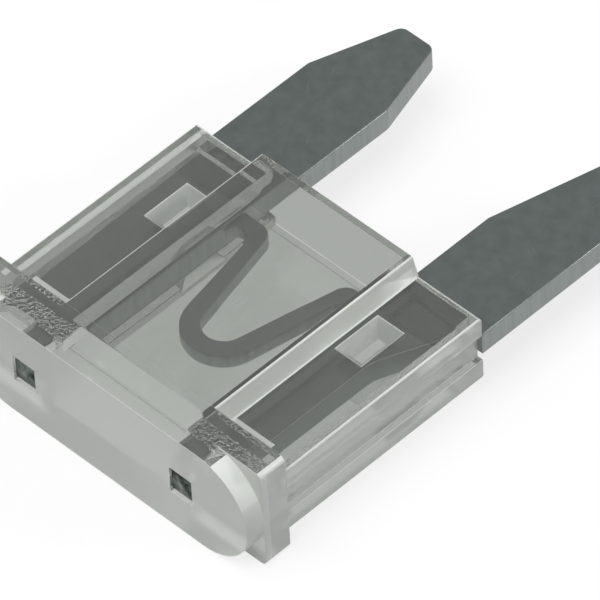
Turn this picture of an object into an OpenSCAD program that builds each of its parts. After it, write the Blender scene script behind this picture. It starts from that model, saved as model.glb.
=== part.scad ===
// Small plug-in blade fuse with a clear housing, lying flat on one face.
// X runs across the two blades, Y along them from the head to the tips, Z up.
// The origin is under the middle of the whole fuse, on the surface that it lies on.
// Inside the modules Y is 0 on the seat, the flat end of the housing that the
// blades come out of, and Z is 0 on the middle plane of the metal.

/* [Housing body] */
// Thickness over the head and the raised centre
housing_t = 3.6; // [3.2:0.1:4.2]
// Width over the two wings
body_w = 10.92; // [10.6:0.02:11.2]
// Length from the seat to the head
body_l = 7.6; // [7:0.1:8.4]
// Thickness of the two wings beside the raised centre
wing_t = 2.35; // [2.2:0.05:2.8]
// How far the raised centre reaches over each stem
centre_overlap = 0.43; // [0.3:0.01:0.6]
// How far each side of the raised centre leans out on its way down
centre_lean = 0.2; // [0:0.02:0.3]
// Chamfer along the seat end of each wing
seat_chamfer = 0.08; // [0:0.02:0.15]
// Depth of the groove along each side
groove_d = 0.2; // [0.05:0.01:0.26]
// Radius on the long outer edges
edge_r = 0.07; // [0.02:0.01:0.15]

/* [Head] */
// Length of the whole head
head_l = 1.55; // [1.3:0.05:2]
// How far each side of the head stands proud of the body
head_overhang = 0.08; // [0.02:0.01:0.2]
// Length of the cap at the end of the head, which has half-round sides
cap_l = 0.62; // [0.4:0.02:0.9]
// Radius on the four long corners of the head's square-sided part
head_r = 0.2; // [0.05:0.05:0.4]
// Height of the faint step between the head and the raised centre
head_step = 0.03; // [0.01:0.01:0.1]

/* [Hollow] */
// Thickness of the clear plate above and below the link
plate_t = 0.65; // [0.5:0.05:0.8]
// Gap above and below the metal in its slots
slot_gap = 0.075; // [0.03:0.005:0.1]
// Gap beside the metal in its slots
side_gap = 0.05; // [0.02:0.01:0.08]
// Length that the hollow for the link reaches into the head
hollow_reach = 0.12; // [0:0.02:0.4]
// Depth of the wider mouth where the blades come out
mouth_d = 0.45; // [0.3:0.05:0.6]
// How much higher the mouth is than the slot, on each face
mouth_rise = 0.16; // [0.08:0.02:0.2]
// Length of the sloping step at the inner and outer end of the mouth
mouth_slope = 0.1; // [0.06:0.02:0.12]

/* [Stake marks] */
// Width of the mark pressed into each wing
stake_w = 1; // [0.8:0.05:1.2]
// Length of the mark
stake_l = 1.66; // [1.3:0.02:1.9]
// Distance that the mark narrows by on the way to its floor, on each side
stake_slope = 0.34; // [0.2:0.02:0.36]
// Depth of the mark
stake_d = 0.42; // [0.2:0.02:0.46]
// Distance of the mark's middle from the seat
stake_y = 2.65; // [2.2:0.05:3.2]
// Distance of the mark's middle from the inner edge of the blade
stake_x = 1.22; // [1.1:0.02:1.5]
// How far both marks sit to the right of that
stake_shift = 0.14; // [0:0.01:0.2]

/* [Blades] */
// Thickness of the metal strip
metal_t = 0.8; // [0.7:0.02:0.9]
// Distance of each blade's outer edge from the side of the body
blade_inset = 0.06; // [0.02:0.01:0.1]
// Width of each blade
blade_w = 2.95; // [2.8:0.05:3.05]
// Length of the bare blades, from the seat to the tips
blade_l = 7.05; // [6.4:0.05:8]
// Length of the taper on the inner edge of the left blade
left_inner_taper_l = 2.65; // [2.2:0.05:3]
// Length of the taper on the outer edge of the left blade
left_outer_taper_l = 2.8; // [2.2:0.05:3]
// Length of the taper on the inner edge of the right blade
right_inner_taper_l = 3.7; // [2.5:0.1:4]
// Length of the taper on the outer edge of the right blade
right_outer_taper_l = 2.3; // [2:0.1:3]
// Width of the flat tip before its corners are rounded
tip_w = 1.25; // [1:0.05:1.6]
// How far each tip sits to the right of the middle of its blade
tip_shift = 0.11; // [0:0.01:0.15]
// Radius of the two corners at each tip
tip_r = 0.3; // [0.2:0.05:0.5]
// Radius where each taper starts
taper_r = 0.35; // [0.1:0.05:0.8]

/* [Stems] */
// Width of the metal just inside the seat
neck_w = 2.48; // [2.4:0.02:2.6]
// Length of that width
neck_l = 1; // [0.7:0.1:1.2]
// Length of the S-shaped step from the right neck to its stem
curve_l = 1.9; // [1.4:0.1:2.4]
// Radius of the two bends of that step
curve_r = 1.5; // [0.6:0.1:1.8]
// Width of the narrow right stem
right_stem_w = 1.67; // [1.5:0.02:1.8]
// Width of the left stem, at its end
left_stem_w = 2.32; // [1.7:0.02:2.4]
// Radius on the outer corner at the end of each stem
stem_r = 0.1; // [0.05:0.05:0.3]
// Length that the stem reaches into the head
stem_reach = 0.55; // [0.4:0.05:0.7]
// Width of the probe tab at the end of the stem
tab_w = 0.74; // [0.6:0.02:0.8]
// Distance of the tab's middle from the inner edge of the stem
tab_inset = 0.57; // [0.5:0.01:0.7]
// Gap between the end of the probe tab and the end of the head
tab_recess = 0.04; // [0.02:0.02:0.3]

/* [Link] */
// Thickness of the link
link_t = 0.5; // [0.4:0.05:0.7]
// Width of the link where it turns
link_w = 0.6; // [0.45:0.01:0.7]
// Width of the link where it meets its shoulders
link_top_w = 0.46; // [0.4:0.02:0.6]
// Radius of the middle line of the turn
turn_r = 0.95; // [0.8:0.05:1.1]
// Distance of the turn's centre from the seat
turn_y = 4.45; // [3.8:0.05:5]
// Width of the arched gap between the top of each arm and its leg
arch_gap = 0.66; // [0.5:0.02:0.76]
// How far the link sits to the right of the middle
link_x = 0.02; // [0:0.02:0.2]
// Distance from the seat to the near edge of each shoulder
shoulder_y = 1.12; // [0.8:0.02:1.4]
// Width of each shoulder, between its near edge and the arch
shoulder_w = 0.5; // [0.4:0.02:0.7]

/* [Hidden] */
$fn = 64;
// Steps in one rounded corner
ARC = 6;
// A cut starts this far outside the surface that it opens
EPS = 0.5;

head_end = -body_l - head_l;
half_t = housing_t / 2;
face_t = half_t - head_step;
wing_top = wing_t / 2;
slot_top = metal_t / 2 + slot_gap;
hollow_top = face_t - plate_t;
body_half = body_w / 2;
head_half = body_half + head_overhang;
blade_out = body_half - blade_inset;
blade_in = blade_out - blade_w;
neck_out = blade_in + neck_w;
stem_end = -body_l - stem_reach;
tab_end = head_end + tab_recess;
tab_x = blade_in + tab_inset;
centre_half = blade_in + centre_overlap;
// The whole fuse is shifted so that the origin is under its middle
seat_y = (body_l + head_l - blade_l) / 2;

function xy(row) = [row[0], row[1]];
function unit(v) = v / norm(v);

// Points of a rounded corner at p, between the corners before and after it
function corner(before, p, after, r) =
    let (u = unit(before - p), v = unit(after - p), half = acos(u * v) / 2,
         centre = p + unit(u + v) * r / sin(half), start = p + u * r / tan(half) - centre,
         turn = (180 - 2 * half) * sign(cross(u, v)) * -1)
    [for (i = [0 : ARC]) let (a = atan2(start[1], start[0]) + turn * i / ARC) centre + r * [cos(a), sin(a)]];

// Outline through rows of [x, y, radius], going round once
function rounded(rows) =
    let (n = len(rows))
    [for (i = [0 : n - 1]) let (p = xy(rows[i]))
        each (rows[i][2] > 0 ? corner(xy(rows[(i + n - 1) % n]), p, xy(rows[(i + 1) % n]), rows[i][2]) : [p])];

// A bar along Y with the given outline in X and Z, from y0 to y1
module bar_y(outline, y0, y1)
    translate([0, y1, 0]) rotate([90, 0, 0]) linear_extrude(y1 - y0) polygon(outline);

// A bar along X with the given outline in Y and Z, from x0 to x1
module bar_x(outline, x0, x1)
    translate([x0, 0, 0]) rotate([90, 0, 90]) linear_extrude(x1 - x0) polygon(outline);

// A box given by its lowest and highest corner
module box(low, high) translate(low) cube(high - low);

// Copies on the left and the right
module both_sides() for (side = [0, 1]) mirror([side, 0, 0]) children();

// Copies on the upper and the lower face
module both_faces() for (side = [0, 1]) mirror([0, 0, side]) children();

// One quarter of the body's section, mirrored to the whole
module body_block() both_sides() both_faces() difference() {
    bar_y(rounded([
        [0, 0, 0], [body_half - groove_d, 0, 0], [body_half - groove_d, slot_top, 0],
        [body_half, slot_top, 0], [body_half, wing_top, edge_r],
        [centre_half + centre_lean, wing_top, 0], [centre_half, face_t, edge_r], [0, face_t, 0]
    ]), -body_l, 0);
    // The chamfer along the seat end of the wing
    bar_x([[-seat_chamfer, wing_top + EPS], [-seat_chamfer, wing_top], [EPS, wing_top - seat_chamfer - EPS],
           [EPS, wing_top + EPS]], centre_half + centre_lean, body_half + EPS);
}

// The head: a square-sided block and an end cap with half-round sides
module head_block() {
    cap_y = head_end + cap_l;
    cap_x = head_half - half_t;
    bar_y(rounded([
        [head_half, half_t, head_r], [-head_half, half_t, head_r],
        [-head_half, -half_t, head_r], [head_half, -half_t, head_r]
    ]), cap_y, -body_l);
    box([-cap_x, head_end, -half_t], [cap_x, cap_y, half_t]);
    both_sides() translate([cap_x, cap_y, 0]) rotate([90, 0, 0]) cylinder(r = half_t, h = cap_l);
}

// The slot for one blade, its neck and its stem, with a wider mouth at the seat
module blade_slot() {
    inner = blade_in - side_gap;
    outer = neck_out + side_gap;
    mouth_top = slot_top + mouth_rise;
    box([inner, stem_end - side_gap, -slot_top], [outer, EPS, slot_top]);
    bar_x([[-mouth_d - mouth_slope, -slot_top], [-mouth_d, -mouth_top], [-mouth_slope, -mouth_top],
           [0, -mouth_top - mouth_rise], [EPS, -mouth_top - mouth_rise],
           [EPS, mouth_top + mouth_rise], [0, mouth_top + mouth_rise],
           [-mouth_slope, mouth_top], [-mouth_d, mouth_top], [-mouth_d - mouth_slope, slot_top]],
          inner, outer);
}

// The channel for one probe tab, which opens in the end of the head as a test window
module tab_channel() {
    reach = tab_w / 2 + side_gap;
    box([tab_x - reach, head_end - EPS, -slot_top], [tab_x + reach, stem_end, slot_top]);
}

// Outline of a mark of the given width: its sides keep their slope to a little above the face
function mark_outline(w) =
    let (rise = 0.1, floor_w = w / 2 - stake_slope, rim_w = w / 2 + rise * stake_slope / stake_d,
         floor_z = wing_top - stake_d, rim_z = wing_top + rise)
    [[-floor_w, floor_z], [floor_w, floor_z], [rim_w, rim_z], [-rim_w, rim_z]];

// The mark in the upper face of one wing, on the right for side 1 and on the left for side -1
module stake_mark(side) translate([side * (blade_in + stake_x) + stake_shift, -stake_y, 0]) intersection() {
    bar_x(mark_outline(stake_l), -stake_w, stake_w);
    bar_y(mark_outline(stake_w), -stake_l, stake_l);
}

module housing() color("lightcyan", 0.35) translate([0, seat_y, half_t]) difference() {
    union() {
        body_block();
        head_block();
    }
    // The hollow that the link lies in, open at the seat
    box([-blade_in - side_gap, -body_l - hollow_reach, -hollow_top], [blade_in + side_gap, EPS, hollow_top]);
    both_sides() {
        blade_slot();
        tab_channel();
    }
    both_faces() for (side = [-1, 1]) stake_mark(side);
}

// The outer edge of the right stem, from its end to the neck
function curved_edge() =
    let (x = blade_in + right_stem_w)
    [[x, stem_end, stem_r], [x, -neck_l - curve_l, curve_r], [neck_out, -neck_l, curve_r]];

// The outer edge of the left stem, which runs nearly straight to the neck
function straight_edge() = [[blade_in + left_stem_w, stem_end, stem_r]];

// One leg of the strip, right hand: blade, neck, stem and probe tab
module leg(stem_edge, inner_taper, outer_taper, tip_out) {
    tip_x = (blade_in + blade_out) / 2 + tip_out;
    shoulder = side_gap;
    translate([0, 0, -metal_t / 2]) linear_extrude(metal_t) polygon(rounded([
        [blade_in, stem_end, 0], [tab_x - tab_w / 2, stem_end, 0],
        [tab_x - tab_w / 2, tab_end, 0], [tab_x + tab_w / 2, tab_end, 0],
        [tab_x + tab_w / 2, stem_end, 0], each stem_edge,
        [neck_out, shoulder, 0], [blade_out, shoulder, 0],
        [blade_out, blade_l - outer_taper, taper_r], [tip_x + tip_w / 2, blade_l, tip_r],
        [tip_x - tip_w / 2, blade_l, tip_r], [blade_in, blade_l - inner_taper, taper_r]
    ]));
}

// The part of the link on the right of its own middle, up to the right leg
module link_half(reach) {
    top_y = -shoulder_y - shoulder_w;
    // The outer edge of the arm at the height of the arch
    arm_x = blade_in - arch_gap;
    // The arm's middle line runs from its top to the turn, which it touches
    top = [arm_x - link_top_w / 2, top_y + turn_y];
    lean = acos(turn_r / norm(top)) - atan2(top[1], top[0]);
    arm_l = sqrt(top * top - turn_r * turn_r);
    foot = [turn_r * cos(lean), -turn_y - turn_r * sin(lean)];
    arch_r = (reach - arm_x) / 2;
    // The shoulder reaches this far into the leg
    root = 0.1;
    // The arms and the two halves of the turn lap over each other by this much
    lap = 0.02;
    // A distance well outside the turn
    far = 3 * turn_r;
    translate([0, -turn_y]) intersection() {
        difference() {
            circle(r = turn_r + link_w / 2);
            circle(r = turn_r - link_w / 2);
        }
        polygon([[-lap, 0], [-lap, -far], [far, -far], far * [cos(lean), -sin(lean)], [0, 0]]);
    }
    translate(foot) rotate(-lean) polygon([
        [-link_w / 2, -lap], [link_w / 2, -lap], [link_top_w / 2, arm_l], [-link_top_w / 2, arm_l]
    ]);
    difference() {
        polygon(rounded([
            [arm_x - link_top_w, top_y - arch_r, 0], [reach + root, top_y - arch_r, 0],
            [reach + root, -shoulder_y, 0], [arm_x - link_top_w, -shoulder_y, shoulder_w]
        ]));
        translate([arm_x + arch_r, top_y - arch_r]) circle(r = arch_r);
    }
}

// The thin curved link between the two legs
module link() translate([link_x, 0, -link_t / 2]) linear_extrude(link_t) {
    link_half(blade_in - link_x);
    mirror([1, 0]) link_half(blade_in + link_x);
}

module fuse_element() color("slategray") translate([0, seat_y, half_t]) {
    leg(curved_edge(), right_inner_taper_l, right_outer_taper_l, tip_shift);
    mirror([1, 0, 0]) leg(straight_edge(), left_inner_taper_l, left_outer_taper_l, -tip_shift);
    link();
}

housing();
fuse_element();
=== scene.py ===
"""Dresses a small plug-in blade fuse: a clear moulded housing round a stamped zinc strip.

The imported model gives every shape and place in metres, with the fuse lying flat on its
face, the blades along +Y and the head at -Y. Sizes in this file are in millimetres.
"""

import enum
import logging
import math
from dataclasses import dataclass, field
from typing import Any

import bmesh
import bpy
from mathutils import Matrix, Vector
from mathutils.bvhtree import BVHTree


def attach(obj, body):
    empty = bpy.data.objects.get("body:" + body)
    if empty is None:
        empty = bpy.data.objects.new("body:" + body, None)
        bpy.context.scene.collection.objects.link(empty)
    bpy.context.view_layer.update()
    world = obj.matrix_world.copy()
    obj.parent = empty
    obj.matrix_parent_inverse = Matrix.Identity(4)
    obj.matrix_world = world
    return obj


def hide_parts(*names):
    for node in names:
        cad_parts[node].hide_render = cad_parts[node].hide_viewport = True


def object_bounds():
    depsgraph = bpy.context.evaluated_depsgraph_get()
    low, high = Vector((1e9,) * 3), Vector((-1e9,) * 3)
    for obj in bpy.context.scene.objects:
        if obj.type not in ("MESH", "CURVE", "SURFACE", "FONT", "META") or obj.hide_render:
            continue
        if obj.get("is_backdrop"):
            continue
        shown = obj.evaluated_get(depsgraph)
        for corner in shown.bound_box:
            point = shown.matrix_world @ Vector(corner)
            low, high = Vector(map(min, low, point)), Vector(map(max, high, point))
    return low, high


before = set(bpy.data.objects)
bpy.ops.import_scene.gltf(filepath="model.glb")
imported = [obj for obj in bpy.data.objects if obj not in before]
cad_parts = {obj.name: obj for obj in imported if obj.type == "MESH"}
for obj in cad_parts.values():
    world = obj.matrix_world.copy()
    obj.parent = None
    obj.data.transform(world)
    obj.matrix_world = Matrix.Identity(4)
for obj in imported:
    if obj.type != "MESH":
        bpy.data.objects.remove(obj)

LOG = logging.getLogger("blade_fuse")
MM = 0.001
HOUSING_NODE = "housing"
STRIP_NODE = "fuse_element"
# Points of a finished solid that are closer than this are one
SAME_PLACE = 0.0001
# Triangles that bend by fewer degrees than this lie in one flat face
FLAT_ANGLE = 0.5
# Edges that bend by more degrees than this are shaded sharp
SHARP_SHADING = 40.0
# At this weight the largest face at a corner sets the normal there
FACE_WEIGHT = 100
# A bevel with this profile is an even arc
ROUND_PROFILE = 0.5
# Light crosses the shell many times before it leaves
LIGHT_BOUNCES = {"max_bounces": 32, "glossy_bounces": 24, "transmission_bounces": 32}


def reach(node: str, axis: int) -> tuple[float, float]:
    """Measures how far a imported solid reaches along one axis.

    Args:
        node: The solid's name.
        axis: 0 for X, 1 for Y and 2 for Z.

    Returns:
        Its lowest and its highest place, in millimetres.
    """
    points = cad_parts[node].data.vertices
    places = [round(point.co[axis] / MM, 4) for point in points]
    return min(places), max(places)


# The seat, where the housing ends and the bare blades start
SEAT_Y = reach(HOUSING_NODE, 1)[1]
# The middle plane of the housing and of the strip
MID_Z = sum(reach(HOUSING_NODE, 2)) / 2


def linear(hex_colour: str) -> tuple[float, float, float, float]:
    """Turns an sRGB hex colour into the linear colour that a shader socket holds.

    The numbers are those of the sRGB standard's own curve.

    Args:
        hex_colour: Six hex digits after a hash sign, such as "#a9aea8".

    Returns:
        Red, green, blue and an alpha of one.
    """
    shares = [int(hex_colour[i : i + 2], 16) / 255 for i in (1, 3, 5)]
    red, green, blue = (
        s / 12.92 if s <= 0.04045 else ((s + 0.055) / 1.055) ** 2.4 for s in shares
    )
    return red, green, blue, 1.0


def add_node(
    tree: bpy.types.NodeTree, kind: str, inputs: dict[str | int, Any] | None = None,
    **settings: Any,
) -> bpy.types.Node:
    """Adds one node with its settings, and sets or links its inputs.

    Args:
        tree: The node tree that the node goes into.
        kind: The node's type name.
        inputs: Input names or numbers, each with a value or with the output to link.
        settings: Properties of the node itself.

    Returns:
        The new node.
    """
    made = tree.nodes.new(kind)
    for name, value in settings.items():
        setattr(made, name, value)
    for key, value in (inputs or {}).items():
        if isinstance(value, bpy.types.NodeSocket):
            tree.links.new(value, made.inputs[key])
        else:
            made.inputs[key].default_value = value
    return made


def new_material(name: str) -> tuple[bpy.types.Material, bpy.types.NodeTree, bpy.types.Node]:
    """Makes an empty material.

    Args:
        name: The material's name.

    Returns:
        The material, its node tree and its output node.
    """
    material = bpy.data.materials.new(name)
    material.use_nodes = True
    material.node_tree.nodes.clear()
    return material, material.node_tree, add_node(material.node_tree, "ShaderNodeOutputMaterial")


def looking_rays(tree: bpy.types.NodeTree) -> bpy.types.NodeSocket:
    """Adds up the rays that look at the background: straight, mirrored and through the plastic.

    Args:
        tree: The node tree.

    Returns:
        An output that is one for those rays and zero for the rest.
    """
    path = add_node(tree, "ShaderNodeLightPath")
    mirrored = add_node(
        tree, "ShaderNodeMath",
        {0: path.outputs["Is Camera Ray"], 1: path.outputs["Is Glossy Ray"]}, operation="MAXIMUM",
    )
    through = add_node(
        tree, "ShaderNodeMath",
        {0: mirrored.outputs[0], 1: path.outputs["Is Transmission Ray"]}, operation="MAXIMUM",
    )
    return through.outputs[0]


@dataclass(frozen=True)
class MouldedPolycarbonate:
    """Clear injection-moulded polycarbonate, with what its wall of the mould prints on it.

    Polycarbonate bends light strongly, so every wall doubles the metal behind it.
    """

    name: str
    # The colour that light keeps after it has gone in and out through this finish
    tint: str
    roughness: float
    # Spacing and height of the printed texture
    texture: float
    texture_height: float
    # Finer layers in the texture
    texture_detail: float = 1.0
    # The share of the light that the surface scatters as a white haze
    haze: float = 0.0
    # What the finish leaves of a lamp's light on its way to the metal and the sheet
    shadow_tint: str = "#f4f5f4"
    # Polycarbonate's own index, about 1.585
    ior: float = 1.585
    # The faint grey-green of the plastic itself, in thick places
    depth_tint: str = "#c3cac2"
    absorption_length: float = 30.0

    def material(self) -> bpy.types.Material:
        """Builds the material.

        Returns:
            The clear plastic.
        """
        material, tree, output = new_material(self.name)
        place = add_node(tree, "ShaderNodeTexCoord").outputs["Object"]
        texture = add_node(
            tree, "ShaderNodeTexNoise",
            {"Vector": place, "Scale": 1 / (self.texture * MM), "Detail": self.texture_detail},
        )
        relief = add_node(
            tree, "ShaderNodeBump",
            {"Height": texture.outputs["Fac"], "Distance": self.texture_height * MM},
        )
        shader = add_node(
            tree, "ShaderNodeBsdfPrincipled",
            {"Base Color": linear(self.tint), "Roughness": self.roughness, "IOR": self.ior,
             "Transmission Weight": 1.0 - self.haze, "Normal": relief.outputs[0]},
        )
        depth = add_node(
            tree, "ShaderNodeVolumeAbsorption",
            {"Color": linear(self.depth_tint), "Density": 1 / (self.absorption_length * MM)},
        )
        clear = add_node(tree, "ShaderNodeBsdfTransparent", {"Color": linear(self.shadow_tint)})
        path = add_node(tree, "ShaderNodeLightPath")
        lit = add_node(
            tree, "ShaderNodeMixShader",
            {0: path.outputs["Is Shadow Ray"], 1: shader.outputs[0], 2: clear.outputs[0]},
        )
        tree.links.new(lit.outputs[0], output.inputs["Surface"])
        tree.links.new(depth.outputs[0], output.inputs["Volume"])
        return material


class Wall(enum.IntEnum):
    """The finishes on the shell's walls, in the order of its materials."""

    PLATE = 0
    SIDE = 1
    FROSTED = 2
    MOUTH = 3
    CORE = 4
    ERODED_PAINTED_SHADE = 5
    SCUFFED = 6
    EDGE = 7
    FOOT = 8


HOUSING_FINISHES: dict[Wall, MouldedPolycarbonate] = {
    # The polished faces over and under the link, with slow ripples from the flow
    Wall.PLATE: MouldedPolycarbonate(
        name="polycarbonate_polished_plate", tint="#bfc3be", roughness=0.012,
        texture=1.6, texture_height=0.008, haze=0.08,
    ),
    # The drafted outer walls, which the mould leaves satin
    Wall.SIDE: MouldedPolycarbonate(
        name="polycarbonate_satin_side", tint="#f2f6f1", roughness=0.22,
        texture=1.2, texture_height=0.006, haze=0.5,
    ),
    # The head's frosted end and the raised centre's two sides
    Wall.FROSTED: MouldedPolycarbonate(
        name="polycarbonate_frosted_end", tint="#f8fcf6", roughness=0.36,
        texture=0.9, texture_height=0.012, haze=0.65,
    ),
    # The ceiling of the open mouth, tinted darker: painted shade
    Wall.MOUTH: MouldedPolycarbonate(
        name="polycarbonate_mouth_painted_shade", tint="#b3b7b2", roughness=0.03,
        texture=1.6, texture_height=0.008, haze=0.04, shadow_tint="#e8e9e8",
    ),
    # The smooth core's walls
    Wall.CORE: MouldedPolycarbonate(
        name="polycarbonate_core_wall", tint="#fbfcfb", roughness=0.02,
        texture=1.6, texture_height=0.008, shadow_tint="#fdfefd",
    ),
    # The spark-eroded core's walls, drawn coarser than the real 0.03 mm grain so that it shows, and
    # tinted darker as painted shade
    Wall.ERODED_PAINTED_SHADE: MouldedPolycarbonate(
        name="polycarbonate_eroded_core_painted_shade", tint="#b9beb9", roughness=0.03,
        texture=0.1, texture_height=0.14, texture_detail=1.5, haze=0.03, shadow_tint="#f0f2f0",
    ),
    # The stake marks' walls and the back of the head, which scatter the light to a soft pale grey
    Wall.SCUFFED: MouldedPolycarbonate(
        name="polycarbonate_scuffed_step", tint="#eaefe9", roughness=0.42,
        texture=0.25, texture_height=0.02, texture_detail=2.0, haze=0.35,
    ),
    # The small radii and narrow strips along the outer edges, near-white and matt: painted highlight
    # lines
    Wall.EDGE: MouldedPolycarbonate(
        name="polycarbonate_edge_painted_highlight", tint="#f8fcf7", roughness=0.3,
        texture=0.9, texture_height=0.006, haze=0.85,
    ),
    # The near-white matt strip at the head's foot: a painted highlight line
    Wall.FOOT: MouldedPolycarbonate(
        name="polycarbonate_foot_painted_highlight", tint="#f6faf5", roughness=0.4,
        texture=0.4, texture_height=0.01, haze=0.52,
    ),
}


@dataclass(frozen=True)
class ZincFinish:
    """Zinc alloy in two close tones, both painted paler inside the housing: painted light for what the
    tinted shell takes.
    """

    name: str
    dark: str
    light: str
    # The tones inside the housing, painted lighter: painted light for what the tinted shell takes
    housed_lightened_dark: str
    housed_lightened_light: str
    roughness: float
    # The noise at which the tone is fully dark, and fully light
    noise_dark: float
    noise_light: float
    # Length over which the painted lighter tones take over, from the seat inwards
    cover_fade: float = 0.5

    def tones(
        self, tree: bpy.types.NodeTree, place: bpy.types.NodeSocket, noise: bpy.types.NodeSocket
    ) -> tuple[bpy.types.NodeSocket, bpy.types.NodeSocket]:
        """Adds the two tones, as they are outside the housing and, painted lighter, inside it.

        Args:
            tree: The material's node tree.
            place: The object coordinates.
            noise: The noise that chooses between the tones.

        Returns:
            How light the tone is, from 0 to 1, and the colour.
        """
        lightness = add_node(
            tree, "ShaderNodeMapRange",
            {"Value": noise, "From Min": self.noise_dark, "From Max": self.noise_light},
        ).outputs[0]
        bare, housed_lightened = (
            add_node(
                tree, "ShaderNodeMix", {0: lightness, 6: linear(low), 7: linear(high)},
                data_type="RGBA",
            ).outputs[2]
            for low, high in ((self.dark, self.light), (self.housed_lightened_dark, self.housed_lightened_light))
        )
        axes = add_node(tree, "ShaderNodeSeparateXYZ", {0: place})
        inside = add_node(
            tree, "ShaderNodeMapRange",
            {"Value": axes.outputs["Y"], "From Min": SEAT_Y * MM,
             "From Max": (SEAT_Y - self.cover_fade) * MM},
        )
        colour = add_node(
            tree, "ShaderNodeMix", {0: inside.outputs[0], 6: bare, 7: housed_lightened}, data_type="RGBA"
        )
        return lightness, colour.outputs[2]


@dataclass(frozen=True)
class RolledZinc(ZincFinish):
    """Rolled zinc alloy strip, left bare: a dull blue-grey skin with a soft mottle."""

    name: str = "rolled_zinc_alloy"
    dark: str = "#636967"
    light: str = "#6a716f"
    # Painted lighter tones for inside the housing
    housed_lightened_dark: str = "#878e8b"
    housed_lightened_light: str = "#939b97"
    roughness: float = 0.42
    roughness_spread: float = 0.14
    noise_dark: float = 0.32
    noise_light: float = 0.68
    # Size of the mottle in the rolled skin, its finer layers and how much they count
    mottle: float = 0.45
    mottle_detail: float = 5.0
    mottle_fineness: float = 0.62
    # Spacing, length and height of the fine rolling lines along the blades
    rolling_line: float = 0.09
    rolling_length: float = 25.0
    rolling_height: float = 0.002

    def material(self) -> bpy.types.Material:
        """Builds the material.

        Returns:
            The dull zinc skin.
        """
        material, tree, output = new_material(self.name)
        place = add_node(tree, "ShaderNodeTexCoord").outputs["Object"]
        mottle = add_node(
            tree, "ShaderNodeTexNoise",
            {"Vector": place, "Scale": 1 / (self.mottle * MM), "Detail": self.mottle_detail,
             "Roughness": self.mottle_fineness},
        )
        lightness, colour = self.tones(tree, place, mottle.outputs["Fac"])
        along = 1 / (self.rolling_length * MM)
        stretch = add_node(
            tree, "ShaderNodeMapping",
            {"Vector": place, "Scale": (1 / (self.rolling_line * MM), along, along)},
        )
        lines = add_node(tree, "ShaderNodeTexNoise", {"Vector": stretch.outputs[0], "Scale": 1.0})
        bump = add_node(
            tree, "ShaderNodeBump",
            {"Height": lines.outputs["Fac"], "Distance": self.rolling_height * MM},
        )
        roughness = add_node(
            tree, "ShaderNodeMapRange",
            {"Value": lightness, "To Min": self.roughness - self.roughness_spread / 2,
             "To Max": self.roughness + self.roughness_spread / 2},
        )
        shader = add_node(
            tree, "ShaderNodeBsdfPrincipled",
            {"Base Color": colour, "Metallic": 1.0, "Roughness": roughness.outputs[0],
             "Normal": bump.outputs[0]},
        )
        tree.links.new(shader.outputs[0], output.inputs["Surface"])
        return material


@dataclass(frozen=True)
class ShearedZinc(ZincFinish):
    """The sheared edges of the stamping: fresher and brighter than the skin, faintly streaked."""

    name: str = "sheared_zinc_alloy"
    dark: str = "#868c8a"
    light: str = "#8e9491"
    # Painted lighter tones for inside the housing
    housed_lightened_dark: str = "#949b96"
    housed_lightened_light: str = "#a2a8a4"
    roughness: float = 0.36
    noise_dark: float = 0.35
    noise_light: float = 0.65
    # Spacing and height of the upright streaks, and their finer layers
    streak: float = 0.16
    streak_height: float = 0.0015
    streak_detail: float = 3.0
    # How many times longer than wide a streak is
    streak_stretch: float = 12.0

    def material(self) -> bpy.types.Material:
        """Builds the material.

        Returns:
            The streaked bright edge.
        """
        material, tree, output = new_material(self.name)
        place = add_node(tree, "ShaderNodeTexCoord").outputs["Object"]
        across = 1 / (self.streak * MM)
        stretch = add_node(
            tree, "ShaderNodeMapping",
            {"Vector": place, "Scale": (across, across, across / self.streak_stretch)},
        )
        streaks = add_node(
            tree, "ShaderNodeTexNoise",
            {"Vector": stretch.outputs[0], "Scale": 1.0, "Detail": self.streak_detail},
        )
        bump = add_node(
            tree, "ShaderNodeBump",
            {"Height": streaks.outputs["Fac"], "Distance": self.streak_height * MM},
        )
        shader = add_node(
            tree, "ShaderNodeBsdfPrincipled",
            {"Base Color": self.tones(tree, place, streaks.outputs["Fac"])[1],
             "Metallic": 1.0, "Roughness": self.roughness, "Normal": bump.outputs[0]},
        )
        tree.links.new(shader.outputs[0], output.inputs["Surface"])
        return material


@dataclass(frozen=True)
class TabEndPaintedShade:
    """The ends of the probe tabs in the test windows: painted dark in blotches, as painted shade in the
    windows' recesses.
    """

    name: str = "tab_end_painted_shade"
    dark: str = "#2c332f"
    light: str = "#727b75"
    roughness: float = 0.4
    # Size of a blotch, and its finer layers
    blotch: float = 0.4
    blotch_detail: float = 2.0
    # The noise at which a blotch is fully dark, and fully light
    noise_dark: float = 0.38
    noise_light: float = 0.62

    def material(self) -> bpy.types.Material:
        """Builds the material.

        Returns:
            The tab ends' painted shade.
        """
        material, tree, output = new_material(self.name)
        place = add_node(tree, "ShaderNodeTexCoord").outputs["Object"]
        blotches = add_node(
            tree, "ShaderNodeTexNoise",
            {"Vector": place, "Scale": 1 / (self.blotch * MM), "Detail": self.blotch_detail},
        )
        lightness = add_node(
            tree, "ShaderNodeMapRange",
            {"Value": blotches.outputs["Fac"], "From Min": self.noise_dark,
             "From Max": self.noise_light},
        )
        colour = add_node(
            tree, "ShaderNodeMix",
            {0: lightness.outputs[0], 6: linear(self.dark), 7: linear(self.light)},
            data_type="RGBA",
        )
        shader = add_node(
            tree, "ShaderNodeBsdfPrincipled",
            {"Base Color": colour.outputs[2], "Metallic": 1.0, "Roughness": self.roughness},
        )
        tree.links.new(shader.outputs[0], output.inputs["Surface"])
        return material


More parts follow.
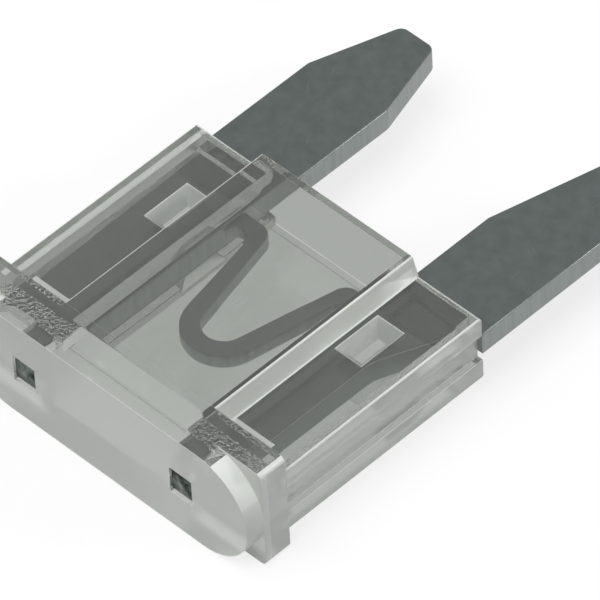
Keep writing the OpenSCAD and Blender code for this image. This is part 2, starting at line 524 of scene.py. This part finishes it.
@dataclass(frozen=True)
class ScratchedZinc:
    """Where handling has cut through the dull skin: narrow bright lines of fresh zinc."""

    name: str = "scratched_zinc_alloy"
    colour: str = "#7f8684"
    roughness: float = 0.32

    def material(self) -> bpy.types.Material:
        """Builds the material.

        Returns:
            The fresh zinc.
        """
        material, tree, output = new_material(self.name)
        shader = add_node(
            tree, "ShaderNodeBsdfPrincipled",
            {"Base Color": linear(self.colour), "Metallic": 1.0, "Roughness": self.roughness},
        )
        tree.links.new(shader.outputs[0], output.inputs["Surface"])
        return material


class StripFace(enum.IntEnum):
    """The finishes on the strip, in the order of its materials."""

    SKIN = 0
    SHEARED = 1
    # The stems' rolled edges: a painted highlight line
    TAB_END = 2
    PAINTED_HIGHLIGHT = 3


STRIP_FINISHES: dict[StripFace, ZincFinish | TabEndPaintedShade] = {
    # The flat faces and the stems' outer sides
    StripFace.SKIN: RolledZinc(),
    # The other sides, which the punch leaves fresh
    StripFace.SHEARED: ShearedZinc(),
    # The tabs' ends, in painted shade
    StripFace.TAB_END: TabEndPaintedShade(),
    # The rolled edges of the stems' outer sides, very pale inside the housing: a painted highlight line
    # along them
    StripFace.PAINTED_HIGHLIGHT: ShearedZinc(
        name="stem_edge_painted_highlight", housed_lightened_dark="#c0c6c2", housed_lightened_light="#d2d8d4"
    ),
}


@dataclass(frozen=True)
class PalePaper:
    """The matt white sheet that the fuse lies on."""

    name: str = "pale_paper"
    colour: str = "#939393"
    # What the sheet adds for the rays that look at it, so that it shows white
    lift: float = 0.75

    def material(self) -> bpy.types.Material:
        """Builds the material.

        Returns:
            The matt white sheet.
        """
        material, tree, output = new_material(self.name)
        matt = add_node(tree, "ShaderNodeBsdfDiffuse", {"Color": linear(self.colour)})
        strength = add_node(
            tree, "ShaderNodeMath", {0: looking_rays(tree), 1: self.lift}, operation="MULTIPLY"
        )
        glow = add_node(tree, "ShaderNodeEmission", {"Strength": strength.outputs[0]})
        both = add_node(tree, "ShaderNodeAddShader", {0: matt.outputs[0], 1: glow.outputs[0]})
        tree.links.new(both.outputs[0], output.inputs["Surface"])
        return material


def merged_copy(node: str, name: str, weld: float) -> bmesh.types.BMesh:
    """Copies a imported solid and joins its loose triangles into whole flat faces.

    Args:
        node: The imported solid's name.
        name: What the copy is called in the log.
        weld: Points closer than this many millimetres become one.

    Returns:
        The copy, closed, with its normals outward.
    """
    solid = bmesh.new()
    solid.from_mesh(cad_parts[node].data)
    bmesh.ops.remove_doubles(solid, verts=solid.verts, dist=weld * MM)
    bmesh.ops.dissolve_degenerate(solid, dist=weld * MM, edges=solid.edges)
    bmesh.ops.dissolve_limit(
        solid, angle_limit=math.radians(FLAT_ANGLE), verts=solid.verts, edges=solid.edges
    )
    LOG.info("%s: %d flat faces from %s", name, len(solid.faces), node)
    return solid


def number_by_place(solid: bmesh.types.BMesh) -> None:
    """Numbers a finished solid's points, edges and faces by place, the same in each run.

    Bevels and cuts number them differently from run to run, and the marks are scattered in
    the order of the faces.

    Args:
        solid: The solid. Its points that lie in one place are joined first.
    """
    bmesh.ops.remove_doubles(solid, verts=solid.verts, dist=SAME_PLACE * MM)
    for parts in (solid.verts, solid.edges, solid.faces):
        for rank, part in enumerate(sorted(parts, key=corner_places)):
            part.index = rank
        parts.sort()


def corner_places(
    part: bmesh.types.BMVert | bmesh.types.BMEdge | bmesh.types.BMFace
) -> list[tuple[float, ...]]:
    """Lists the places of a point, or of the corners of an edge or a face, in rising order."""
    points = [part] if isinstance(part, bmesh.types.BMVert) else part.verts
    return sorted(tuple(v.co) for v in points)


def finished_object(
    solid: bmesh.types.BMesh, name: str, materials: list[bpy.types.Material]
) -> bpy.types.Object:
    """Turns a finished solid into an object at the origin.

    Args:
        solid: The solid, in metres. It is freed.
        name: The object's name.
        materials: Its materials, in the order of its faces' material numbers.

    Returns:
        The object, in the scene.
    """
    number_by_place(solid)
    mesh = bpy.data.meshes.new(name)
    solid.to_mesh(mesh)
    solid.free()
    for material in materials:
        mesh.materials.append(material)
    mesh.shade_smooth()
    mesh.set_sharp_from_angle(angle=math.radians(SHARP_SHADING))
    made = bpy.data.objects.new(name, mesh)
    bpy.context.scene.collection.objects.link(made)
    shading = made.modifiers.new("weighted_normals", "WEIGHTED_NORMAL")
    shading.weight = FACE_WEIGHT
    shading.keep_sharp = True
    LOG.info("%s: %d faces", name, len(mesh.polygons))
    return made


@dataclass
class ClearHousing:
    """The moulded shell, with the small radii that the mould leaves on every edge.

    Fields that end in x, y or z are places, and x counts outwards from the middle.
    """

    node: str = HOUSING_NODE
    name: str = "clear_housing"
    slot: str = "clear_plastic"
    weld: float = 0.003
    # Edges that bend by more degrees than this get the radius, in this many steps
    edge_angle: float = 32.0
    edge_radius: float = 0.03
    edge_steps: int = 2
    # Height of the wings' faces over the middle plane
    wing_half: float = 1.175
    # The matt strips of painted highlight end here: at the raised centre's feet and at the head's foot
    foot_x: float = 3.15
    foot_y: float = -6.02
    foot_end_x: float = 4.6
    # Width of the matt strip of painted highlight along the seat
    seat_strip: float = 0.1
    # In the head the cores are eroded between these places, further out than the hollow
    eroded_y: float = -6.6
    eroded_far_y: float = -7.25
    hollow_x: float = 2.55
    # Nearer the seat they are eroded only beyond the stems
    eroded_x: float = 3.6
    # The darker tint of painted shade reaches this far into the mouth
    mouth_skin: float = 1.41
    # The mouth's clear rim: its depth, and how far it may stand over the wings' faces
    rim: float = 0.15
    rim_rise: float = 0.02
    # The back of the head, and how far its sloping step may lie from there
    head_back_y: float = -6.55
    head_step: float = 0.15
    # The head's end is frosted beyond here
    frosted_y: float = -7.3
    # The box round a stake mark
    stake_inner_x: float = 3.15
    stake_outer_x: float = 4.75
    stake_near_y: float = 0.55
    stake_far_y: float = -2.55
    # A face this close to a plane lies in it
    play: float = 0.01
    # A wall is judged by a place this far off it
    probe: float = 0.02
    # The least share of one axis in the normal of a level face, and of a nearly level one
    level: float = 0.99
    nearly_level: float = 0.97
    # The same for a wall that faces along an axis, for an edge radius and for the head's step
    facing: float = 0.5
    rolled: float = 0.35
    step_slope: float = 0.3

    def build(self) -> bpy.types.Object:
        """Rounds the edges of the shell and gives each wall its finish.

        Returns:
            The shell.
        """
        solid = merged_copy(self.node, self.name, self.weld)
        edges = [
            e for e in solid.edges
            if e.is_manifold and e.calc_face_angle(0.0) > math.radians(self.edge_angle)
        ]
        bmesh.ops.bevel(
            solid, geom=edges, offset=self.edge_radius * MM, offset_type="OFFSET",
            segments=self.edge_steps, profile=ROUND_PROFILE, affect="EDGES", clamp_overlap=True,
        )
        for y in (self.eroded_y, self.eroded_far_y, SEAT_Y - self.mouth_skin):
            bmesh.ops.bisect_plane(
                solid, geom=[*solid.verts, *solid.edges, *solid.faces],
                plane_co=(0, y * MM, 0), plane_no=(0, 1, 0),
            )
        self.cut_strips(solid)
        self.mark_walls(solid)
        finishes = [HOUSING_FINISHES[wall].material() for wall in Wall]
        shell = finished_object(solid, self.name, finishes)
        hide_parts(self.node)
        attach(shell, "root")
        return shell

    def cut_strips(self, solid: bmesh.types.BMesh) -> None:
        """Cuts the wings' faces along the matt painted-highlight strips at the raised centre, head and
        seat.

        Args:
            solid: The shell.
        """
        across = (1, 0, 0)
        along = (0, 1, 0)
        cuts = (
            ((self.foot_x, 0.0, 0.0), across),
            ((-self.foot_x, 0.0, 0.0), across),
            ((0.0, self.foot_y, 0.0), along),
            ((0.0, SEAT_Y - self.seat_strip, 0.0), along),
            ((self.foot_end_x, 0.0, 0.0), across),
            ((-self.foot_end_x, 0.0, 0.0), across),
        )
        for place, way in cuts:
            wings = [f for f in solid.faces if self.on_wing(f.calc_center_median() / MM, f.normal)]
            edges = {e for f in wings for e in f.edges}
            points = {v for f in wings for v in f.verts}
            bmesh.ops.bisect_plane(
                solid, geom=[*wings, *edges, *points], plane_co=Vector(place) * MM, plane_no=way
            )

    def on_wing(self, middle: Vector, normal: Vector) -> bool:
        """Tells whether a face lies in the flat outer face of a wing.

        Args:
            middle: The middle of the face, in millimetres.
            normal: Its normal.

        Returns:
            True for a level face at the wings' height, above or below.
        """
        off_plane = abs(abs(middle.z - MID_Z) - self.wing_half)
        return abs(normal.z) > self.level and off_plane < self.play

    def mark_walls(self, solid: bmesh.types.BMesh) -> None:
        """Gives each face the finish of the wall that it is on.

        Args:
            solid: The shell.
        """
        tree = BVHTree.FromBMesh(solid)
        for f in solid.faces:
            middle = f.calc_center_median()
            if self.enclosed(tree, middle + f.normal * self.probe * MM):
                f.material_index = self.inner_wall(middle / MM, f.normal)
            else:
                f.material_index = self.outer_wall(middle / MM, f.normal)

    def inner_wall(self, middle: Vector, normal: Vector) -> Wall:
        """Names the finish of a wall inside the shell.

        Args:
            middle: The middle of the face, in millimetres.
            normal: Its normal.

        Returns:
            The finish.
        """
        in_channel = self.eroded_far_y < middle.y < self.eroded_y and (
            abs(middle.x) > self.hollow_x
        )
        beyond_stem = middle.y > self.eroded_y and abs(middle.x) > self.eroded_x
        # Eroded grain, tinted darker as painted shade over the stems' ends in the head
        if in_channel or (beyond_stem and abs(normal.x) > self.facing):
            return Wall.ERODED_PAINTED_SHADE
        # The mouth's ceiling is tinted darker as painted shade
        if middle.y > SEAT_Y - self.mouth_skin and normal.z < -self.facing:
            return Wall.MOUTH
        return Wall.CORE

    def outer_wall(self, middle: Vector, normal: Vector) -> Wall:
        """Names the finish of a wall on the outside of the shell.

        Args:
            middle: The middle of the face, in millimetres.
            normal: Its normal.

        Returns:
            The finish.
        """
        side = abs(middle.x)
        rise = abs(middle.z - MID_Z) - self.wing_half
        upright = abs(normal.z)
        if side < self.hollow_x and middle.y > SEAT_Y - self.rim and rise < self.rim_rise:
            return Wall.CORE
        in_stake = self.stake_inner_x < side < self.stake_outer_x and (
            self.stake_far_y < middle.y < self.stake_near_y
        )
        if in_stake and rise < -self.play:
            return Wall.SIDE if upright > self.nearly_level else Wall.SCUFFED
        if self.on_wing(middle, normal):
            # These strips are near-white and matt: painted highlight lines
            if side < self.foot_x or middle.y > SEAT_Y - self.seat_strip:
                return Wall.EDGE
            at_head = middle.y < self.foot_y and side < self.foot_end_x
            return Wall.FOOT if at_head else Wall.PLATE
        if normal.y > self.step_slope and abs(middle.y - self.head_back_y) < self.head_step:
            return Wall.SCUFFED
        if upright > self.rolled:
            return Wall.PLATE if upright > self.nearly_level else Wall.EDGE
        raised = rise > 0 and abs(normal.x) > self.facing and middle.y > self.head_back_y
        return Wall.FROSTED if raised or middle.y < self.frosted_y else Wall.SIDE

    def enclosed(self, tree: BVHTree, place: Vector) -> bool:
        """Tells whether a place lies in a slot, channel or hollow of the shell.

        Args:
            tree: The shell's faces.
            place: The place, just off a face.

        Returns:
            True if the shell lies above, below, left and right of it.
        """
        ways = (Vector((1, 0, 0)), Vector((-1, 0, 0)), Vector((0, 0, 1)), Vector((0, 0, -1)))
        return all(tree.ray_cast(place, way)[0] is not None for way in ways)


@dataclass(frozen=True)
class ToolingMarks:
    """Fine marks on the strip, grown by Geometry Nodes: shear ridges and handling scratches."""

    name: str = "tooling_marks"
    seed: int = 7
    # Ridges on each square millimetre of sheared edge, and the size of the largest
    ridge_density: float = 7.0
    ridge_width: float = 0.03
    ridge_stand: float = 0.006
    ridge_height: float = 0.3
    # The smallest ridge, as shares of the largest
    smallest_ridge: tuple[float, float, float] = (0.4, 0.3, 0.35)
    # Scratches on each square millimetre of a bare blade, and the size of the longest
    scratch_density: float = 0.7
    scratch_width: float = 0.01
    scratch_stand: float = 0.002
    scratch_length: float = 0.4
    # The smallest scratch, as shares of the largest
    smallest_scratch: tuple[float, float, float] = (0.15, 0.5, 1.0)
    # The most of Z in the normal of a sheared side, and the least in that of a flat face
    sheared_limit: float = 0.05
    flat_limit: float = 0.99
    # Faces with less of Z than this make the outline that the scratches keep clear of
    outline_limit: float = 0.5

    def apply(
        self, strip: bpy.types.Object, edge: bpy.types.Material, scratch: bpy.types.Material
    ) -> None:
        """Grows the marks on the strip and keeps the result as its plain mesh.

        Args:
            strip: The strip.
            edge: The finish of the ridges.
            scratch: The finish of the scratches.
        """
        tree = self.tree(edge, scratch)
        sizes = {
            "Ridge Density": self.ridge_density / MM**2,
            "Ridge Size": (self.ridge_width * MM, self.ridge_stand * MM, self.ridge_height * MM),
            "Scratch Density": self.scratch_density / MM**2,
            "Scratch Size": (
                self.scratch_length * MM, self.scratch_width * MM, self.scratch_stand * MM
            ),
            "Middle Height": MID_Z * MM,
            "Seat": SEAT_Y * MM,
            "Seed": self.seed,
        }
        modifier = strip.modifiers.new(self.name, "NODES")
        modifier.node_group = tree
        for item in tree.interface.items_tree:
            if item.in_out == "INPUT" and item.name in sizes:
                modifier[item.identifier] = sizes[item.name]
        for other in strip.modifiers:
            other.show_viewport = other == modifier
        graph = bpy.context.evaluated_depsgraph_get()
        grown = bpy.data.meshes.new_from_object(strip.evaluated_get(graph), depsgraph=graph)
        strip.modifiers.remove(modifier)
        for other in strip.modifiers:
            other.show_viewport = True
        strip.data = grown
        grown.name = strip.name
        LOG.info("%s: %d faces with its marks", strip.name, len(grown.polygons))

    def tree(self, edge: bpy.types.Material, scratch: bpy.types.Material) -> bpy.types.NodeTree:
        """Builds the node tree.

        Args:
            edge: The finish of the ridges.
            scratch: The finish of the scratches.

        Returns:
            The tree, with one named input for each size.
        """
        tree = bpy.data.node_groups.new(self.name, "GeometryNodeTree")
        tree.interface.new_socket("Geometry", in_out="INPUT", socket_type="NodeSocketGeometry")
        for name, kind in (
            ("Ridge Density", "Float"), ("Ridge Size", "Vector"), ("Scratch Density", "Float"),
            ("Scratch Size", "Vector"), ("Middle Height", "Float"), ("Seat", "Float"), ("Seed", "Int"),
        ):
            tree.interface.new_socket(name, in_out="INPUT", socket_type=f"NodeSocket{kind}")
        tree.interface.new_socket("Geometry", in_out="OUTPUT", socket_type="NodeSocketGeometry")
        given = add_node(tree, "NodeGroupInput")
        join = add_node(tree, "GeometryNodeJoinGeometry")
        tree.links.new(given.outputs["Geometry"], join.inputs[0])
        for marks in (self.ridges(tree, given, edge), self.scratches(tree, given, scratch)):
            tree.links.new(marks, join.inputs[0])
        result = add_node(tree, "NodeGroupOutput")
        tree.links.new(join.outputs[0], result.inputs[0])
        return tree

    def levelness(self, tree: bpy.types.NodeTree) -> bpy.types.NodeSocket:
        """Adds how level each face is.

        Args:
            tree: The node tree.

        Returns:
            The share of Z in the normal: zero on a sheared side and one on a flat face.
        """
        normal = add_node(tree, "GeometryNodeInputNormal")
        slope = add_node(tree, "ShaderNodeSeparateXYZ", {0: normal.outputs[0]})
        share = add_node(tree, "ShaderNodeMath", {0: slope.outputs["Z"]}, operation="ABSOLUTE")
        return share.outputs[0]

    def ridges(
        self, tree: bpy.types.NodeTree, given: bpy.types.Node, finish: bpy.types.Material
    ) -> bpy.types.NodeSocket:
        """Adds the upright ridges that the punch drags down the sheared edges.

        Args:
            tree: The node tree.
            given: Its group input.
            finish: The finish of the ridges.

        Returns:
            The ridges.
        """
        sheared = add_node(
            tree, "FunctionNodeCompare", {0: self.levelness(tree), 1: self.sheared_limit},
            operation="LESS_THAN",
        )
        points = add_node(
            tree, "GeometryNodeDistributePointsOnFaces",
            {"Mesh": given.outputs["Geometry"], "Selection": sheared.outputs[0],
             "Density": given.outputs["Ridge Density"], "Seed": given.outputs["Seed"]},
        )
        position = add_node(tree, "GeometryNodeInputPosition")
        place = add_node(tree, "ShaderNodeSeparateXYZ", {0: position.outputs[0]})
        middle = add_node(
            tree, "ShaderNodeCombineXYZ",
            {"X": place.outputs["X"], "Y": place.outputs["Y"], "Z": given.outputs["Middle Height"]},
        )
        centred = add_node(
            tree, "GeometryNodeSetPosition",
            {"Geometry": points.outputs["Points"], "Position": middle.outputs[0]},
        )
        outward = add_node(
            tree, "FunctionNodeAlignRotationToVector", {"Vector": points.outputs["Normal"]},
            axis="Y", pivot_axis="Z",
        )
        return self.marks(
            tree, given, centred.outputs[0], "Ridge Size", outward.outputs[0],
            self.smallest_ridge, finish,
        )

    def scratches(
        self, tree: bpy.types.NodeTree, given: bpy.types.Node, finish: bpy.types.Material
    ) -> bpy.types.NodeSocket:
        """Adds the short scratches on the flat faces of the bare blades.

        Args:
            tree: The node tree.
            given: Its group input.
            finish: The finish of the scratches.

        Returns:
            The scratches.
        """
        level = self.levelness(tree)
        flat = add_node(
            tree, "FunctionNodeCompare", {0: level, 1: self.flat_limit}, operation="GREATER_THAN"
        )
        position = add_node(tree, "GeometryNodeInputPosition")
        place = add_node(tree, "ShaderNodeSeparateXYZ", {0: position.outputs[0]})
        bare = add_node(
            tree, "FunctionNodeCompare", {0: place.outputs["Y"], 1: given.outputs["Seat"]},
            operation="GREATER_THAN",
        )
        both = add_node(
            tree, "FunctionNodeBooleanMath", {0: flat.outputs[0], 1: bare.outputs[0]}, operation="AND"
        )
        points = add_node(
            tree, "GeometryNodeDistributePointsOnFaces",
            {"Mesh": given.outputs["Geometry"], "Selection": both.outputs[0],
             "Density": given.outputs["Scratch Density"], "Seed": given.outputs["Seed"]},
        )
        steep = add_node(
            tree, "FunctionNodeCompare", {0: level, 1: self.outline_limit}, operation="LESS_THAN"
        )
        outline = add_node(
            tree, "GeometryNodeSeparateGeometry",
            {"Geometry": given.outputs["Geometry"], "Selection": steep.outputs[0]}, domain="FACE",
        )
        near = add_node(
            tree, "GeometryNodeProximity", {"Target": outline.outputs["Selection"]},
            target_element="FACES",
        )
        longest = add_node(tree, "ShaderNodeSeparateXYZ", {0: given.outputs["Scratch Size"]})
        touching = add_node(
            tree, "FunctionNodeCompare", {0: near.outputs["Distance"], 1: longest.outputs["X"]},
            operation="LESS_THAN",
        )
        kept = add_node(
            tree, "GeometryNodeDeleteGeometry",
            {"Geometry": points.outputs["Points"], "Selection": touching.outputs[0]}, domain="POINT",
        )
        angle = add_node(
            tree, "FunctionNodeRandomValue",
            {2: 0.0, 3: math.tau, "Seed": given.outputs["Seed"]}, data_type="FLOAT",
        )
        turn = add_node(tree, "ShaderNodeCombineXYZ", {"Z": angle.outputs[1]})
        spin = add_node(tree, "FunctionNodeEulerToRotation", {0: turn.outputs[0]})
        return self.marks(
            tree, given, kept.outputs[0], "Scratch Size", spin.outputs[0],
            self.smallest_scratch, finish,
        )

    def marks(
        self, tree: bpy.types.NodeTree, given: bpy.types.Node, points: bpy.types.NodeSocket,
        size: str, turn: bpy.types.NodeSocket, smallest: tuple[float, float, float],
        finish: bpy.types.Material,
    ) -> bpy.types.NodeSocket:
        """Puts one small bar on each point.

        Args:
            tree: The node tree.
            given: Its group input.
            points: The points.
            size: The name of the input that gives the largest bar.
            turn: How each bar is turned.
            smallest: The size of the smallest bar, as shares of the largest.
            finish: The bars' finish.

        Returns:
            The bars, as real geometry with their finish.
        """
        bar = add_node(tree, "GeometryNodeMeshCube", {"Size": given.outputs[size]})
        share = add_node(
            tree, "FunctionNodeRandomValue",
            {0: smallest, 1: (1.0, 1.0, 1.0), "Seed": given.outputs["Seed"]}, data_type="FLOAT_VECTOR",
        )
        placed = add_node(
            tree, "GeometryNodeInstanceOnPoints",
            {"Points": points, "Instance": bar.outputs[0], "Rotation": turn, "Scale": share.outputs[0]},
        )
        real = add_node(tree, "GeometryNodeRealizeInstances", {0: placed.outputs[0]})
        dressed = add_node(
            tree, "GeometryNodeSetMaterial", {"Geometry": real.outputs[0], "Material": finish}
        )
        return dressed.outputs[0]


@dataclass
class StampedElement:
    """The stamped strip: two blades, two stems and the thin link, all of one piece."""

    node: str = STRIP_NODE
    name: str = "stamped_element"
    slot: str = "zinc_alloy"
    weld: float = 0.004
    # The punch rolls the lower edge over more than the upper one
    upper_radius: float = 0.05
    lower_radius: float = 0.09
    edge_steps: int = 3
    # Edges of the flat faces that bend by more degrees than this are rolled over
    edge_angle: float = 60.0
    # The least of Z in the normal of a flat face, and the most in that of an upright one
    flat: float = 0.9
    upright: float = 0.3
    # The stems' outer sides lie beyond this, between the head and the shoulders
    stem_side_x: float = 3.8
    stem_far_y: float = -6.9
    stem_near_y: float = 0.9
    # Faces nearer the head's end than this are the tabs' ends
    tab_end_y: float = -7.95
    scratch: ScratchedZinc = field(default_factory=ScratchedZinc)
    marks: ToolingMarks = field(default_factory=ToolingMarks)

    def build(self) -> bpy.types.Object:
        """Rolls the edges over and gives the faces and the sheared sides their finishes.

        Returns:
            The strip.
        """
        solid = merged_copy(self.node, self.name, self.weld)
        for radius, way in ((self.upper_radius, 1), (self.lower_radius, -1)):
            self.roll_edges(solid, radius, way)
        for f in solid.faces:
            f.material_index = self.face_finish(f.calc_center_median() / MM, f.normal)
        finishes = [STRIP_FINISHES[face].material() for face in StripFace]
        strip = finished_object(solid, self.name, finishes)
        self.marks.apply(strip, finishes[StripFace.SHEARED], self.scratch.material())
        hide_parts(self.node)
        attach(strip, "root")
        return strip

    def face_finish(self, middle: Vector, normal: Vector) -> StripFace:
        """Names the finish of a face.

        Args:
            middle: The middle of the face, in millimetres.
            normal: Its normal.

        Returns:
            The finish.
        """
        if middle.y < self.tab_end_y:
            return StripFace.TAB_END
        if abs(normal.z) > self.flat:
            return StripFace.SKIN
        on_stem = abs(middle.x) > self.stem_side_x and self.stem_far_y < middle.y < self.stem_near_y
        if on_stem and middle.x * normal.x > 0:
            # The stems' upright outer sides take the skin, and their rolled edges the painted highlight
            return StripFace.SKIN if abs(normal.z) < self.upright else StripFace.PAINTED_HIGHLIGHT
        return StripFace.SHEARED

    def roll_edges(self, solid: bmesh.types.BMesh, radius: float, way: int) -> None:
        """Rounds the outline of the upper or the lower face.

        Args:
            solid: The strip.
            radius: The radius in millimetres.
            way: 1 for the upper face and -1 for the lower one.
        """
        edges = [
            e for e in solid.edges
            if e.is_manifold and e.calc_face_angle_signed(0.0) > math.radians(self.edge_angle)
            and any(f.normal.z * way > self.flat for f in e.link_faces)
        ]
        bmesh.ops.bevel(
            solid, geom=edges, offset=radius * MM, offset_type="OFFSET",
            segments=self.edge_steps, profile=ROUND_PROFILE, affect="EDGES", clamp_overlap=False,
        )


@dataclass(frozen=True)
class Softbox:
    """One square soft lamp that faces the fuse."""

    name: str
    place: tuple[float, float, float]
    size: float
    # In watts
    power: float

    def hang(self) -> None:
        """Puts the lamp in the scene."""
        data = bpy.data.lights.new(self.name, "AREA")
        data.size = self.size * MM
        data.energy = self.power
        lamp = bpy.data.objects.new(self.name, data)
        lamp.location = Vector(self.place) * MM
        lamp.rotation_euler = (-lamp.location).to_track_quat("-Z", "Y").to_euler()
        bpy.context.scene.collection.objects.link(lamp)


@dataclass
class Studio:
    """The sheet, the soft lamps and the camera."""

    sheet_size: float = 3000.0
    # The film of air that is left under a part on a sheet, so that its lower face still mirrors
    air_gap: float = 0.02
    paper: PalePaper = field(default_factory=PalePaper)
    # The strength of the even light on the fuse, while looking rays see a strength of one
    world_level: float = 0.5
    lamps: tuple[Softbox, ...] = (
        Softbox("overhead_softbox", (-20.0, -120.0, 380.0), size=300.0, power=0.8),
        Softbox("side_softbox", (300.0, 190.0, 205.0), size=70.0, power=0.25),
    )
    # The camera's eye, and in degrees the way that it looks
    eye: tuple[float, float, float] = (133.65, -124.0, 195.51)
    azimuth: float = 47.27
    elevation: float = 46.911
    roll: float = -3.501
    lens: float = 582.35
    sensor: float = 36.0
    nearest: float = 10.0
    farthest: float = 10000.0

    def build(self) -> None:
        """Builds the surroundings."""
        self.floor()
        self.world()
        for lamp in self.lamps:
            lamp.hang()
        self.camera()

    def floor(self) -> None:
        """Lays the sheet under the fuse."""
        half = self.sheet_size / 2 * MM
        low = -self.air_gap * MM
        mesh = bpy.data.meshes.new("sheet")
        mesh.from_pydata(
            [(-half, -half, low), (half, -half, low), (half, half, low), (-half, half, low)],
            [], [(0, 1, 2, 3)],
        )
        mesh.materials.append(self.paper.material())
        sheet = bpy.data.objects.new("sheet", mesh)
        bpy.context.scene.collection.objects.link(sheet)
        sheet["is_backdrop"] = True

    def world(self) -> None:
        """Gives an even grey light that shows as white to the rays that look at it."""
        world = bpy.data.worlds.new("studio")
        world.use_nodes = True
        tree = world.node_tree
        tree.nodes.clear()
        level = add_node(
            tree, "ShaderNodeMapRange",
            {"Value": looking_rays(tree), "To Min": self.world_level, "To Max": 1.0},
        )
        light = add_node(tree, "ShaderNodeBackground", {"Strength": level.outputs[0]})
        output = add_node(tree, "ShaderNodeOutputWorld")
        tree.links.new(light.outputs[0], output.inputs["Surface"])
        bpy.context.scene.world = world

    def camera(self) -> None:
        """Sets the camera at the photograph's angle and distance."""
        az, el, roll = (math.radians(a) for a in (self.azimuth, self.elevation, self.roll))
        right = Vector((math.cos(az), math.sin(az), 0))
        back = Vector((math.sin(az) * math.cos(el), -math.cos(az) * math.cos(el), math.sin(el)))
        up = back.cross(right)
        image_right = math.cos(roll) * right + math.sin(roll) * up
        image_up = -math.sin(roll) * right + math.cos(roll) * up
        data = bpy.data.cameras.new("camera")
        data.lens = self.lens
        data.sensor_width = self.sensor
        data.clip_start = self.nearest * MM
        data.clip_end = self.farthest * MM
        camera = bpy.data.objects.new("camera", data)
        turn = Matrix((image_right, image_up, back)).transposed()
        camera.matrix_world = Matrix.Translation(Vector(self.eye) * MM) @ turn.to_4x4()
        bpy.context.scene.collection.objects.link(camera)
        bpy.context.scene.camera = camera


def corners() -> list[list[float]]:
    """Measures the box round what shows of the fuse.

    Returns:
        Its lowest and its highest corner, in metres.
    """
    bpy.context.view_layer.update()
    return [list(corner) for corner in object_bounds()]


def main() -> None:
    """Builds the surroundings and the two pieces."""
    logging.basicConfig(level=logging.INFO, format="%(name)s: %(message)s")
    packed = corners()
    bpy.context.scene.view_settings.view_transform = "Standard"
    for limit, bounces in LIGHT_BOUNCES.items():
        setattr(bpy.context.scene.cycles, limit, bounces)
    Studio().build()
    for maker in (ClearHousing(), StampedElement()):
        piece = maker.build()
        LOG.info("%s is in place", piece.name)
    {"cad": packed, "visual": corners()}


if __name__ == "__main__":
    main()
